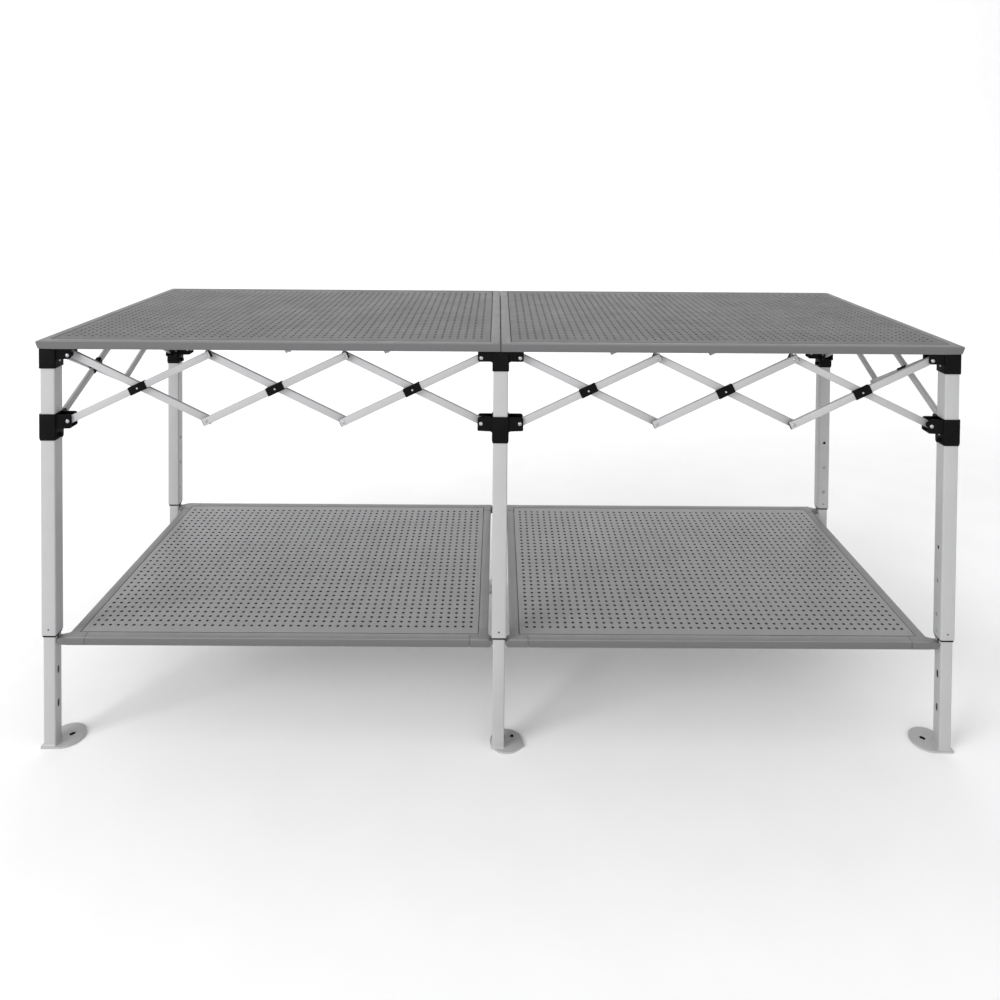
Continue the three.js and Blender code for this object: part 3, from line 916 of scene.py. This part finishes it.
def border(kind, side):
    """A panel's border: one piece on top, and rails, corners and spigots on a shelf."""
    node = f"{kind}_{side}_frame"
    low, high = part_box(node)
    sign = -1 if side == "left" else 1
    if kind == "shelf":
        xs = sorted((sign * SHELF_INNER, sign * SHELF_OUTER))
    elif side == "left":
        xs = (low.x, high.x - PANEL_SEAM)
    else:
        xs = (low.x + PANEL_SEAM, high.x)
    low, high = Vector((xs[0], low.y, high.z - LIP)), Vector((xs[1], high.y, high.z))
    body = f"{kind}_{side}"
    ends = corners_of(low, high)
    castings = [casting(corner, high.z, CORNER_TAPER[kind] * (abs(corner[0][0]) > LEG_X / 2),
                        PROUD[kind]) for corner in ends]
    if kind == "top_panel":
        place_piece(joined("border", [rails(low, high, SEAM[kind]), *castings]),
                    f"{kind}_rails_{side}", body, TOP_RAIL_PAINT, (node,))
        if side == "left":
            # a black strip in the seam between the top panels: painted shade
            seam_shade = box((high.x, low.y + SEAM_SHADE_END, low.z + SEAM_SHADE_FACE),
                         (high.x + SEAM_SHADE_STRIP, high.y - SEAM_SHADE_END, high.z - SEAM_SHADE_FACE))
            place_piece(seam_shade, f"{kind}_buffer", body, BLACK_PLASTIC_AND_SHADE)
        return
    place_piece(rails(low, high, SEAM[kind]), f"{kind}_rails_{side}", body,
                SHELF_RAIL_PAINT, (node,))
    hooks = [hook(corner, high.z, sign) for corner in ends]
    place_piece(joined("corners", castings + hooks), f"{kind}_corners_{side}", body,
                CORNER_PAINT, (node,))
    # black spigots behind the seams: painted shade
    spigots = []
    for (x, y), (ix, iy) in ends:
        near, far = CORNER - SPIGOT_NEAR, CORNER + SPIGOT_FAR
        for path in (
            [((x + ix * near, y), (0, iy), 0), ((x + ix * far, y), (0, iy), 0)],
            [((x, y + iy * near), (ix, 0), 0), ((x, y + iy * far), (ix, 0), 0)],
        ):
            spigots.append(swept(SPIGOT, path, high.z))
    place_piece(joined("spigots", spigots), f"{kind}_spigots_{side}", body,
                BLACK_PLASTIC_AND_SHADE)


# ---------------------------------------------------------------- the table

def build_leg(name):
    """Everything that stands on one leg's centre line."""
    side_x, side_y, face = LEGS[name]
    place = at(side_x * LEG_X, side_y * LEG_Y, 0)
    leg_body = f"lower_leg_{name}"

    def put(mesh, piece, body, slot, finish, *nodes):
        place_piece(moved(mesh, place), piece, body, finish, nodes)

    put(upper_leg(side_y, face), f"upper_tube_{name}", BODY, "leg_paint", WHITE,
        f"upper_leg_{name}")
    put(bush(), f"bush_{name}", BODY, "bracket_plastic", BLACK_PLASTIC_AND_SHADE)
    put(lower_leg(side_x, face), f"lower_tube_{name}", leg_body, "leg_paint", WHITE,
        f"lower_leg_{name}")
    put(liner(UPPER_TUBE - 2 * UPPER_WALL, LOWER_HIGH + 0.155, UPPER_HIGH - 0.004),
        f"upper_inside_{name}", BODY, "leg_paint", TUBE_INSIDE_SHADE)
    put(liner(LOWER_TUBE - 2 * LOWER_WALL, 0.006, LOWER_HIGH - 0.002),
        f"lower_inside_{name}", leg_body, "leg_paint", TUBE_INSIDE_SHADE)
    shape = MIDDLE_FOOT if side_x == 0 else END_FOOT
    mirror_x = (-1 if side_y > 0 else 1) if side_x == 0 else -side_x
    mirror = Matrix.Diagonal((mirror_x, -side_y, 1, 1))
    put(joined("plate", [moved(foot(shape), mirror), weld()]), f"ground_plate_{name}", leg_body,
        "leg_paint", WHITE, f"lower_leg_{name}")
    # the black ring in the plate's hole: painted shade
    put(moved(foot_hole_shade(shape), mirror), f"plate_hole_shade_{name}", leg_body, "bracket_plastic",
        BLACK_PLASTIC_AND_SHADE)
    put(moved(button(), turned(TURN[face]) @ at(0, 0, HEIGHT_HOLES[0]) @ along((1, 0, 0))),
        f"button_{name}", f"height_button_{name}", "zinc_steel", ZINC, f"height_button_{name}")
    put(bracket(side_x, side_y, *TOP_BRACKET, 0.0, top_arm, 0.83, UPPER_HIGH + 0.0003),
        f"top_cap_{name}", BODY, "bracket_plastic", BLACK_PLASTIC_AND_SHADE, f"top_bracket_{name}")
    inward = -90 * side_y if side_x == 0 else 90 + 90 * side_x
    slider = bracket(side_x, side_y, *SLIDER, 0.0012, slider_arm, 0.67, 0.75)
    slider = combine(slider, hole_cutters([(LOCK_BORE, LOCK_Z)], inward), "DIFFERENCE")
    put(slider, f"slider_{name}", BODY, "bracket_plastic", BLACK_PLASTIC_AND_SHADE, f"slider_bracket_{name}")
    put(moved(lock(), turned(inward) @ at(0, 0, LOCK_Z) @ along((1, 0, 0))),
        f"lock_{name}", f"slider_lock_{name}", "bracket_plastic", BLACK_PLASTIC_AND_SHADE,
        f"slider_lock_{name}")
    heights = SCREWS if name == "front_right" else SCREWS[:1]
    screws = [moved(SCREW, turned(inward) @ at(COLLAR / 2, 0, z) @ along((1, 0, 0)))
              for z in heights]
    put(joined("screws", screws), f"screws_{name}", BODY, "zinc_steel", ZINC)


for leg_name in LEGS:
    build_leg(leg_name)
for run_name in RUNS:
    build_run(run_name)
for panel_side in ("left", "right"):
    for panel_kind in GRID:
        panel_sheet(panel_kind, panel_side)
        border(panel_kind, panel_side)


# ---------------------------------------------------------------- stage, light, camera

FLOOR_REACH = 60.0
BACKDROP_FOOT, BACKDROP_BEND, BACKDROP_TOP = 5.0, 3.0, 9.0


def floor():
    """A pale ground that curves up into a backdrop far behind the table."""
    def build(shape):
        rows = [(-FLOOR_REACH, 0.0), (BACKDROP_FOOT, 0.0)]
        rows += [(BACKDROP_FOOT + BACKDROP_BEND * math.sin(a),
                  BACKDROP_BEND - BACKDROP_BEND * math.cos(a))
                 for a in (math.radians(10 * k) for k in range(1, 10))]
        rows.append((BACKDROP_FOOT + BACKDROP_BEND, BACKDROP_TOP))
        lines = [[shape.verts.new((x, y, z - 0.0002)) for x in (-FLOOR_REACH, FLOOR_REACH)]
                 for y, z in rows]
        for first, second in zip(lines, lines[1:]):
            shape.faces.new((first[0], first[1], second[1], second[0]))
    ground = bpy.data.objects.new("floor", mesh_of("floor", build))
    bpy.context.scene.collection.objects.link(ground)
    ground.data.materials.append(PALE)
    for face in ground.data.polygons:
        face.use_smooth = True


def area_light(name, place, target, size, power):
    """A rectangular light that looks at a target."""
    data = bpy.data.lights.new(name, "AREA")
    data.shape = "RECTANGLE"
    data.size, data.size_y = size
    data.energy = power
    light = bpy.data.objects.new(name, data)
    bpy.context.scene.collection.objects.link(light)
    light.location = place
    aim = Vector(target) - Vector(place)
    light.rotation_mode = "QUATERNION"
    light.rotation_quaternion = aim.to_track_quat("-Z", "Y")


WORLD_STRENGTH = 0.88


def studio():
    """An even white world with a soft key light, a weak front light and one on the backdrop."""
    world = bpy.data.worlds.new("studio")
    world.use_nodes = True
    background = world.node_tree.nodes["Background"]
    background.inputs["Color"].default_value = (1, 1, 1, 1)
    background.inputs["Strength"].default_value = WORLD_STRENGTH
    bpy.context.scene.world = world
    area_light("key", (-6.2, -5.2, 3.8), (0, 0, 0.5), (4.0, 3.0), 420)
    area_light("front", (0.8, -5.2, 1.4), (0, 0, 0.4), (3.6, 1.6), 50)
    area_light("backdrop", (0, 3.5, 5.0), (0, 7.5, 1.5), (7.0, 2.0), 140)
    bpy.context.scene.view_settings.view_transform = "Standard"


CAMERA_PLACE = (-0.0082, -2.0369, 1.2900)
ROLL, PITCH, YAW = 0.0071, 0.02, -0.0029
SENSOR, LENS = 36, 28.15
SHIFT_X, SHIFT_Y = -0.0006, -0.321


def camera():
    """Stands in front of the table a little left of its middle, at chest height."""
    turn = (Matrix.Rotation(ROLL, 3, "Z") @ Matrix.Rotation(PITCH, 3, "X")
            @ Matrix.Rotation(YAW, 3, "Y"))
    to_camera = turn @ Matrix(((1, 0, 0), (0, 0, -1), (0, 1, 0)))
    data = bpy.data.cameras.new("camera")
    data.sensor_width = SENSOR
    data.lens = LENS
    data.shift_x = SHIFT_X
    data.shift_y = SHIFT_Y
    view = bpy.data.objects.new("camera", data)
    bpy.context.scene.collection.objects.link(view)
    pose = (to_camera.transposed() @ Matrix.Diagonal((1, -1, -1))).to_4x4()
    view.matrix_world = at(*CAMERA_PLACE) @ pose
    bpy.context.scene.camera = view


floor()
studio()
camera()
